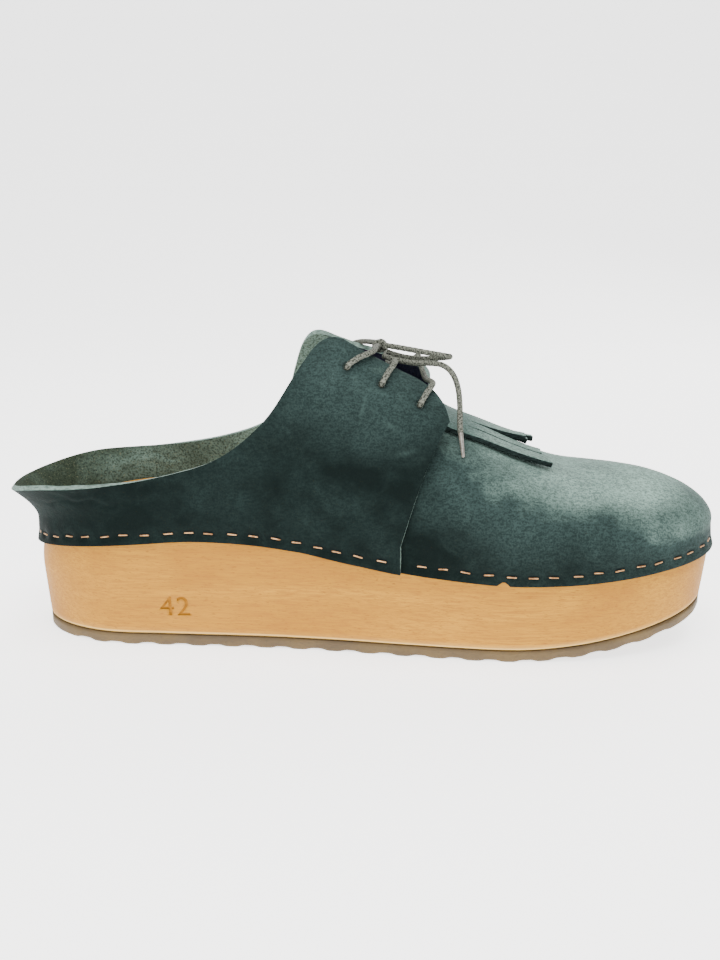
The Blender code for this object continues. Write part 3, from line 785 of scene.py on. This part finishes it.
# The quarters are one piece that runs round the heel and ends in two flaps with three punched holes each.
# It stands on the wood's top edge, leans out behind the heel, and laps over the vamp in front.
# Share of the length, height of the quarter's top edge as a share of INSTEP_HEIGHT
TOP_EDGE = {
    -1: (
        (0.000, 0.504),
        (0.055, 0.548),
        (0.120, 0.557),
        (0.180, 0.568),
        (0.235, 0.596),
        (0.280, 0.629),
        (0.320, 0.683),
        (0.362, 0.772),
        (0.400, 0.900),
        (0.425, 0.970),
        (0.447, 0.981),
        (0.474, 0.949),
        (0.505, 0.911),
        (0.537, 0.874),
        (0.565, 0.842),
        (0.585, 0.809),
        (0.600, 0.768),
        (0.607, 0.730),
    ),
    1: (
        (0.000, 0.504),
        (0.055, 0.540),
        (0.120, 0.555),
        (0.180, 0.568),
        (0.235, 0.584),
        (0.283, 0.608),
        (0.320, 0.638),
        (0.345, 0.678),
        (0.363, 0.745),
        (0.376, 0.845),
        (0.388, 0.925),
        (0.403, 0.972),
        (0.420, 0.979),
        (0.445, 0.948),
        (0.470, 0.920),
        (0.505, 0.898),
        (0.545, 0.876),
        (0.572, 0.848),
        (0.583, 0.812),
        (0.586, 0.765),
    ),
}
# Shares of the length where the front edge's foot and its top corner lie
QUARTER_FRONT = {-1: (0.548, 0.607), 1: (0.548, 0.586)}
# Eyelets of each flap from the collar down: share of the length, share of INSTEP_HEIGHT
EYELETS = {
    -1: ((0.466, 0.899), (0.514, 0.845), (0.567, 0.783)),
    1: ((0.446, 0.888), (0.497, 0.846), (0.548, 0.812)),
}
EYELET_RADIUS = 0.0017
columns = []
for station in spread(400, -1.0, 1.0):
    side = OUTER if station > 0 else INNER
    foot, corner = (turn_at(share) for share in QUARTER_FRONT[side])
    reach_forward = 1 - (1 - abs(station)) ** 1.4
    top_turn = reach_forward * corner
    top = climb_at(side, top_turn, along(TOP_EDGE[side], share_at(top_turn)) * INSTEP_HEIGHT, True)
    column = []
    for rise in spread(20, -1.0, -0.05) + spread(62, 0.0, 1.0):
        turn = reach_forward * mix(foot, corner, max(rise, 0.0))
        climb = rise if rise < 0 else rise * top
        column.append(over_last(side, turn, climb, quarter_lift(turn) + LEATHER, True))
    columns.append(column)
bm = laid_grid(columns)
eyelet_seats = {}
for side in (INNER, OUTER):
    for number, (share, height) in enumerate(EYELETS[side]):
        turn = turn_at(share)
        climb = climb_at(side, turn, height * INSTEP_HEIGHT, True)
        seat = over_last(side, turn, climb, quarter_lift(turn) + LEATHER, True)
        eyelet_seats[side, number] = (seat, surface_normal(side, turn, climb, True), turn, climb)
        near = [face for face in bm.faces if (face.calc_center_median() - seat).length < EYELET_RADIUS]
        bmesh.ops.delete(bm, geom=near, context="FACES")
        for edge in bm.edges:
            if edge.is_boundary:
                for vert in edge.verts:
                    offset = vert.co - seat
                    if offset.length < EYELET_RADIUS * 1.9:
                        vert.co = seat + offset.normalized() * EYELET_RADIUS

# Scratches: place in millimetres along and up, length and tilt
SCRATCHES = ((-2.0, 104.0, 9.0, 1.35), (9.0, 97.0, 7.0, -0.35), (15.0, 87.0, 8.0, 0.2))


def quarter_paint(point):
    """The flaps are painted paler near their holes and towards their tops, partly as wear and partly as
    painted light from above; the heel and the foot of the quarters stay deep.
    """
    share = point.x / BASE_LENGTH + 0.5
    side = OUTER if point.y > 0 else INNER
    height = point.z / INSTEP_HEIGHT
    # Painted light: the flaps grow paler towards their tops.
    wear_and_painted_light = 0.03 + 0.44 * ease(height, 0.60, 0.92) * ease(share, 0.30, 0.46)
    wear_and_painted_light += 0.12 * bump(share, 0.52, 0.06) * bump(height, 0.72, 0.08) + 0.05 * bump(share, 0.30, 0.08)
    scratch = 0.0
    for x, z, length, tilt in SCRATCHES:
        dx, dz = point.x * 1000 - x, point.z * 1000 - z
        run, off = dx * math.cos(tilt) + dz * math.sin(tilt), dz * math.cos(tilt) - dx * math.sin(tilt)
        scratch = max(scratch, 0.20 * bump(run, 0.0, length * 0.5) * bump(off, 0.0, 0.75))
    if side == OUTER:
        scratch *= 0.3
    depth, painted_shade = staple_pull(point)
    dent = depth + crease_depth(point) + hand_made(point)
    # Dark navy is painted on the flesh side near the lace holes.
    lace_side = ease(share, 0.425, 0.445) * ease(height, 0.70, 0.74)
    for seat, *_ in eyelet_seats.values():
        gap = (point - seat).length
        dent += 0.0004 * bump(gap, EYELET_RADIUS, 0.0012)
        # Painted shade round the rim of each eyelet hole.
        painted_shade = max(painted_shade, 0.5 * bump(gap, EYELET_RADIUS, 0.0008))
    # Painted shade on the cut edge near the leather's lower edge.
    low = ease(along(EDGE_LINE, max(share, 0.0)) * EDGE_HEIGHT - WRAP + 0.004 - point.z, 0.0, 0.003)
    return {"wear_and_painted_light": wear_and_painted_light, "pit_shade": painted_shade, "scratch": scratch, "navy_near_laces": lace_side, "low": low}, dent


leather_sheet("quarter_leather", bm, False, quarter_paint, "upper", "quarter")

# The kiltie is a separate tongue of thick nubuck laid over the vamp under the flaps, slit into six strips.
# Its strips end unevenly and lift at their ends, and its cut sides and underside are painted nearly black as
# shade.
KILTIE_LEATHER = 0.0024
KILTIE_WIDTH = 0.043
KILTIE_REST = 0.0007
SLIT = 0.0011
KILTIE_REAR = 0.530
SLIT_START = 0.641
# Each strip's end as a share of the length, and how far it lifts in thicknesses of its leather
STRIPS = ((0.760, 0.45), (0.746, 0.55), (0.718, 1.45), (0.728, 0.70), (0.740, 1.10), (0.734, 0.50))
STRIP_STEPS = 7


def kiltie_point(share, across, lift):
    """A point over the vamp at a distance across from the ridge."""
    turn = turn_at(share)
    side = OUTER if across > 0 else INNER
    fan = fanned(share)
    ridge = Vector((BASE_LENGTH * (fan - 0.5), swing(fan)))
    reach_in = (ridge - edge_point(side, turn).xy).length
    climb = math.acos((abs(across) / reach_in) ** (1 / section_power(turn, False))) * 2 / math.pi
    return over_last(side, turn, climb, lift)


columns = []
for strip, (end, end_lift) in enumerate(STRIPS):
    for step in spread(STRIP_STEPS, 0.0, 1.0):
        column = []
        for row in spread(70, -0.8, 1.0):
            progress = max(row, 0.0)
            share = mix(SLIT_START, end, progress) if row > 0 else mix(SLIT_START, KILTIE_REAR, -row / 0.8)
            across = (strip + step - 3) * KILTIE_WIDTH / 6
            opened = ease(progress, 0.0, 0.06) * (0.4 + 0.6 * progress)
            inset = (0.5 - step) * SLIT * opened
            curl = 0.0003 * math.sin(strip * 2.3 + progress * 3) * progress
            rest = GAP + LEATHER + KILTIE_REST
            lift = rest + end_lift * KILTIE_LEATHER * progress**1.3 + curl + KILTIE_LEATHER
            column.append(kiltie_point(share, across + inset, lift))
        columns.append(column)
bm = laid_grid(columns)
slits = []
places = bm.loops.layers.uv.active
for face in bm.faces:
    first = min(loop[places].uv.x for loop in face.loops) * (len(columns) - 1)
    if round(first) % (STRIP_STEPS + 1) == STRIP_STEPS:
        slits.append(face)
bmesh.ops.delete(bm, geom=slits, context="FACES")
pale_green = nubuck(
    "kiltie_nubuck",
    deep=(0.020, 0.038, 0.034, 1),
    plain=(0.085, 0.138, 0.122, 1),
    pale=(0.290, 0.410, 0.355, 1),
    rubbed=(0.190, 0.265, 0.240, 1),
)
# The kiltie's cut sides and underside are painted nearly black as shade.
kiltie_shade_edge, tree, shader = shader_of("kiltie_edge_shade")
layers = stretched_noise(tree, (400, 400, 1200), 3.0, 0.6)
painted_shade, lighter_painted_shade = (0.003, 0.006, 0.006, 1), (0.014, 0.024, 0.022, 1)
tone = blend_colours(tree, remap(tree, layers, 0.35, 0.65), painted_shade, lighter_painted_shade)
wire(tree, shader, {"Base Color": tone, "Roughness": 0.9, "Specular IOR Level": 0.1})


def kiltie_paint(point):
    share = point.x / BASE_LENGTH + 0.5
    return {"wear_and_painted_light": 0.45 + 0.25 * ease(share, 0.62, 0.70)}, hand_made(point) * 0.5


kiltie = leather_sheet("kiltie_leather", bm, True, kiltie_paint, "kiltie", "kiltie", KILTIE_LEATHER)
for number, material in enumerate((pale_green, kiltie_shade_edge, kiltie_shade_edge)):
    kiltie.data.materials[number] = material

# The lace is a thin round braid of grey cotton with dark flecks, run through the punched holes.
# Two bars cross the tongue, and the top pair of ends is tied over it in a small knot with one long loop.
LACE = 0.0024
LACE_STEP = 0.0004
# Each pair of eyelets: how far ahead of them the lace crosses the top edge, and how far it sags in between
LEADS = ((0.030, 0.0), (0.013, 0.0050), (0.012, 0.0035))
KNOT_TIE = Vector((0.0038, 0.0, 0.1241))
# Points in millimetres, as the solids under them have them
LOOP = (
    (6.8, -1.0, 124.4),
    (14.0, -4.0, 123.6),
    (24.0, -6.5, 122.1),
    (31.5, -7.0, 120.9),
    (33.6, -5.2, 120.3),
    (31.5, -3.4, 119.7),
    (24.0, -2.2, 119.0),
    (16.0, -1.2, 119.3),
    (9.5, -0.8, 120.8),
    (6.9, -0.6, 121.7),
)
LOOSE_END = (
    (5.4, -3.4, 120.3),
    (8.5, -5.2, 119.5),
    (14.0, -6.6, 118.4),
    (20.0, -7.8, 117.8),
    (25.0, -9.2, 118.0),
    (30.0, -11.2, 117.6),
    (34.0, -13.6, 114.8),
    (36.4, -16.6, 109.6),
    (37.3, -19.8, 102.6),
    (37.3, -23.6, 95.0),
    (37.5, -26.2, 91.6),
)
braid, tree, shader = shader_of("grey_braid")
place = add(tree, "UVMap", {}).outputs[0]
weave = add(tree, "Mapping", {"Vector": place, "Scale": (1900, 9, 1)}).outputs[0]
flecks = add(tree, "TexNoise", {"Vector": weave, "Scale": 1.0, "Detail": 2.0, "Roughness": 0.5}).outputs[0]
tone = blend_colours(tree, remap(tree, flecks, 0.46, 0.60), (0.15, 0.158, 0.13, 1), (0.016, 0.018, 0.014, 1))
# Painted shade darkens the grooves between the braid's strands.
tone = blend_colours(tree, attribute(tree, "groove_shade"), tone, (0.010, 0.011, 0.009, 1))
wire(tree, shader, {"Base Color": tone, "Roughness": 0.82, "Specular IOR Level": 0.2})
relief(tree, shader, flecks, 0.3, 0.0001)


def curve_through(points, steps):
    """A smooth line through points, with so many steps from each to the next."""
    rows = [(i, *point) for i, point in enumerate(points)]
    keys = [i / steps for i in range((len(points) - 1) * steps + 1)]
    return [Vector([along(rows, key, axis) for axis in (1, 2, 3)]) for key in keys]


def evenly(points, step):
    """The same line with points a step apart, and its length."""
    reach = [0.0]
    for before, after in zip(points, points[1:]):
        reach.append(reach[-1] + (after - before).length)
    count = max(round(reach[-1] / step), 2)
    line = []
    for wanted in spread(count, 0.0, reach[-1]):
        i = min(bisect_right(reach, wanted) - 1, len(points) - 2)
        line.append(points[i].lerp(points[i + 1], (wanted - reach[i]) / (reach[i + 1] - reach[i])))
    return line, reach[-1]


def cord_mesh(path, radius_at, around=18, strands=4, braid_pitch=0.0052):
    """A round cord along a path, with the crossing strands of its braid raised, and closed ends."""
    way = (path[1] - path[0]).normalized()
    across = way.orthogonal().normalized()
    rings, groove_shades = [], []
    length = 0.0
    for i, point in enumerate(path):
        ahead = (path[min(i + 1, len(path) - 1)] - path[max(i - 1, 0)]).normalized()
        across = (across - ahead * across.dot(ahead)).normalized()
        up = ahead.cross(across)
        length += (point - path[i - 1]).length if i else 0.0
        ring = []
        for angle in spread(around, 0.0, 2 * math.pi):
            twist = 2 * math.pi * length / braid_pitch
            strand_turn = strands / 2 * angle
            height = max(abs(math.sin(strand_turn + twist)), abs(math.sin(strand_turn - twist)))
            radius = radius_at(i / (len(path) - 1)) * (1 - 0.10 * (1 - height) * (strands > 0))
            ring.append(point + (across * math.cos(angle) + up * math.sin(angle)) * radius)
            groove_shades.append(max(1 - height * 1.35, 0.0) if strands else 0.0)
        rings.append(ring)
    bm = laid_grid(rings)
    groove_shade = bm.verts.layers.float.new("groove_shade")
    places = bm.loops.layers.uv.active
    for vert in bm.verts:
        u, v = vert.link_loops[0][places].uv
        vert[groove_shade] = groove_shades[round(u * (len(path) - 1)) * (around + 1) + round(v * around)]
    for face in bm.faces:
        for loop in face.loops:
            loop[places].uv.x *= length
    bmesh.ops.remove_doubles(bm, verts=bm.verts, dist=0.000005)
    bmesh.ops.holes_fill(bm, edges=[edge for edge in bm.edges if edge.is_boundary], sides=0)
    bmesh.ops.recalc_face_normals(bm, faces=bm.faces)
    return bm


def lace_radius(share):
    return LACE / 2


def braided(name, points):
    """The lace along a fine line, in the place of its solid: the piece, its line and its length."""
    line, length = evenly(points, LACE_STEP)
    return piece(name + "_braid", cord_mesh(line, lace_radius), [braid], "lace", name), line, length


def metres(points):
    return [Vector(point) * 0.001 for point in points]


def from_eyelet(side, number):
    """From behind the flap out through its eyelet, up the outside and over the top edge."""
    seat, normal, turn, climb = eyelet_seats[side, number]
    top_share = share_at(turn) + LEADS[number][0]
    top_turn = turn_at(top_share)
    top_climb = climb_at(side, top_turn, along(TOP_EDGE[side], top_share) * INSTEP_HEIGHT, True)
    lift = quarter_lift(turn) + LEATHER + GAP * 3 + LACE / 2
    ahead = over_last(side, mix(turn, top_turn, 0.4), mix(climb, top_climb, 0.4), lift, True)
    pull = (ahead - seat).normalized()
    points = [seat - normal * 0.0062 - pull * 0.0030, seat - normal * 0.0042 - pull * 0.0002]
    points += [seat - normal * 0.0012 + pull * 0.0003, seat + normal * 0.0011 + pull * 0.0009]
    for t in (0.45, 1.0):
        points.append(over_last(side, mix(turn, top_turn, t), mix(climb, top_climb, t), lift, True))
    return points


for number, name in ((1, "lace_bar_middle"), (2, "lace_bar_front")):
    inner, outer = from_eyelet(INNER, number), from_eyelet(OUTER, number)
    middle = (inner[-1] + outer[-1]) / 2 - UP * LEADS[number][1]
    turned = [edge.lerp(middle, 0.30) + UP * LEADS[number][1] * 0.10 for edge in (inner[-1], outer[-1])]
    braided(name, curve_through(inner + [turned[0], middle, turned[1]] + outer[::-1], 6))
for side, name in ((INNER, "lace_strand_inner"), (OUTER, "lace_strand_outer")):
    near = KNOT_TIE + Vector((0, side * 0.0009, 0))
    far = KNOT_TIE + Vector((-0.0012, side * (LACE + GAP + 0.0042), 0.0006))
    braided(name, curve_through(from_eyelet(side, 0) + [far, near], 6))

# The knot is one turn of the same lace round both strands, drawn tight.
# Its two ends cross over, so that it drifts to the side as it goes round.
turns = []
for angle in spread(40, -0.6, 2 * math.pi * 1.25):
    drift = mix(-0.0019, 0.0019, (angle + 0.6) / (2 * math.pi * 1.25 + 0.6))
    turns.append(KNOT_TIE + Vector((0.00215 * math.cos(angle), drift, 0.00185 * math.sin(angle))))
braided("lace_knot", turns)
loop, line, loop_length = braided("lace_loop", curve_through(metres(LOOP), 8))

# The loose end lies under the loop and falls over the inner flap's corner.
# It ends in an aglet of clear film, which tapers towards its tip.
AGLET_LINE = ((37.5, -26.1, 91.8), (37.9, -30.3, 87.6), (38.3, -34.4, 83.4))
loose_end, line, end_length = braided("lace_end", curve_through(metres(LOOSE_END), 8))
film, tree, shader = shader_of("aglet_film")
wrap = stretched_noise(tree, (300, 300, 900), 3.0, 0.6)
tone = blend_colours(tree, remap(tree, wrap, 0.4, 0.6), (0.210, 0.195, 0.170, 1), (0.090, 0.080, 0.064, 1))
wire(tree, shader, {"Base Color": tone, "Roughness": 0.28, "Coat Weight": 0.5, "Coat Roughness": 0.15})
tip = evenly(curve_through(metres(AGLET_LINE), 10), 0.0005)[0]


def aglet_radius(share):
    return mix(0.00100, 0.00078, ease(share, 0.1, 0.9)) - 0.00022 * bump(share, 1.0, 0.03)


aglet = piece("aglet_tip", cord_mesh(tip, aglet_radius, 16, 0), [film], "aglet", "aglet")

# The studio is a white sweep under a large soft light from above.
# A weaker light stands in front, and one behind for the silhouette.
SWEEP_WIDTH = 14.0
SWEEP_DEPTH = 9.0
SWEEP_BEND = 0.9
sweep = bmesh.new()
bmesh.ops.create_grid(sweep, x_segments=60, y_segments=60, size=0.5)
for vert in sweep.verts:
    run = vert.co.y * SWEEP_DEPTH
    vert.co.x *= SWEEP_WIDTH
    vert.co.y = run
    vert.co.z = max(run - SWEEP_BEND, 0.0) ** 2 * 0.30
sweep_mesh = bpy.data.meshes.new("white_sweep")
sweep.to_mesh(sweep_mesh)
sweep.free()
backdrop = bpy.data.objects.new("white_sweep", sweep_mesh)
bpy.context.scene.collection.objects.link(backdrop)
paper, tree, shader = shader_of("white_paper")
wire(tree, shader, {"Base Color": (0.93, 0.93, 0.93, 1), "Roughness": 0.9})
wire(tree, shader, {"Emission Color": (1, 1, 1, 1), "Emission Strength": 2.20})
sweep_mesh.materials.append(paper)

for name, place, size, power, aim in (
    ("top_light", (-0.05, -0.35, 1.30), 1.1, 26.0, (0.0, 0.0, 0.03)),
    ("front_light", (-0.35, -1.30, 0.55), 1.2, 15.0, (0.0, 0.0, 0.05)),
    ("back_light", (0.60, 0.95, 0.80), 0.8, 8.0, (0.0, 0.0, 0.06)),
):
    lamp = bpy.data.lights.new(name, "AREA")
    lamp.shape = "SQUARE"
    lamp.size = size
    lamp.energy = power
    lamp.color = (1.0, 0.985, 0.965)
    holder = bpy.data.objects.new(name, lamp)
    holder.location = place
    holder.rotation_euler = (Vector(aim) - Vector(place)).to_track_quat("-Z", "Y").to_euler()
    bpy.context.scene.collection.objects.link(holder)
world = bpy.data.worlds.new("studio_air")
world.use_nodes = True
air = world.node_tree.nodes["Background"]
air.inputs["Color"].default_value = (1, 1, 1, 1)
air.inputs["Strength"].default_value = 0.52
bpy.context.scene.world = world

# The camera stands a little above the shoe, square to its inner side.
DISTANCE = 0.463
ELEVATION = math.radians(14)
YAW = math.radians(2)
level = math.cos(ELEVATION)
look = Vector((-math.sin(YAW) * level, math.cos(YAW) * level, -math.sin(ELEVATION)))
camera = bpy.data.objects.new("camera", bpy.data.cameras.new("camera"))
camera.location = Vector((-0.0046, 0, 0.065)) - look * DISTANCE
camera.rotation_euler = look.to_track_quat("-Z", "Y").to_euler()
camera.data.sensor_width = 36
camera.data.lens = 39.375
camera.data.clip_start = 0.01
bpy.context.scene.collection.objects.link(camera)
bpy.context.scene.camera = camera
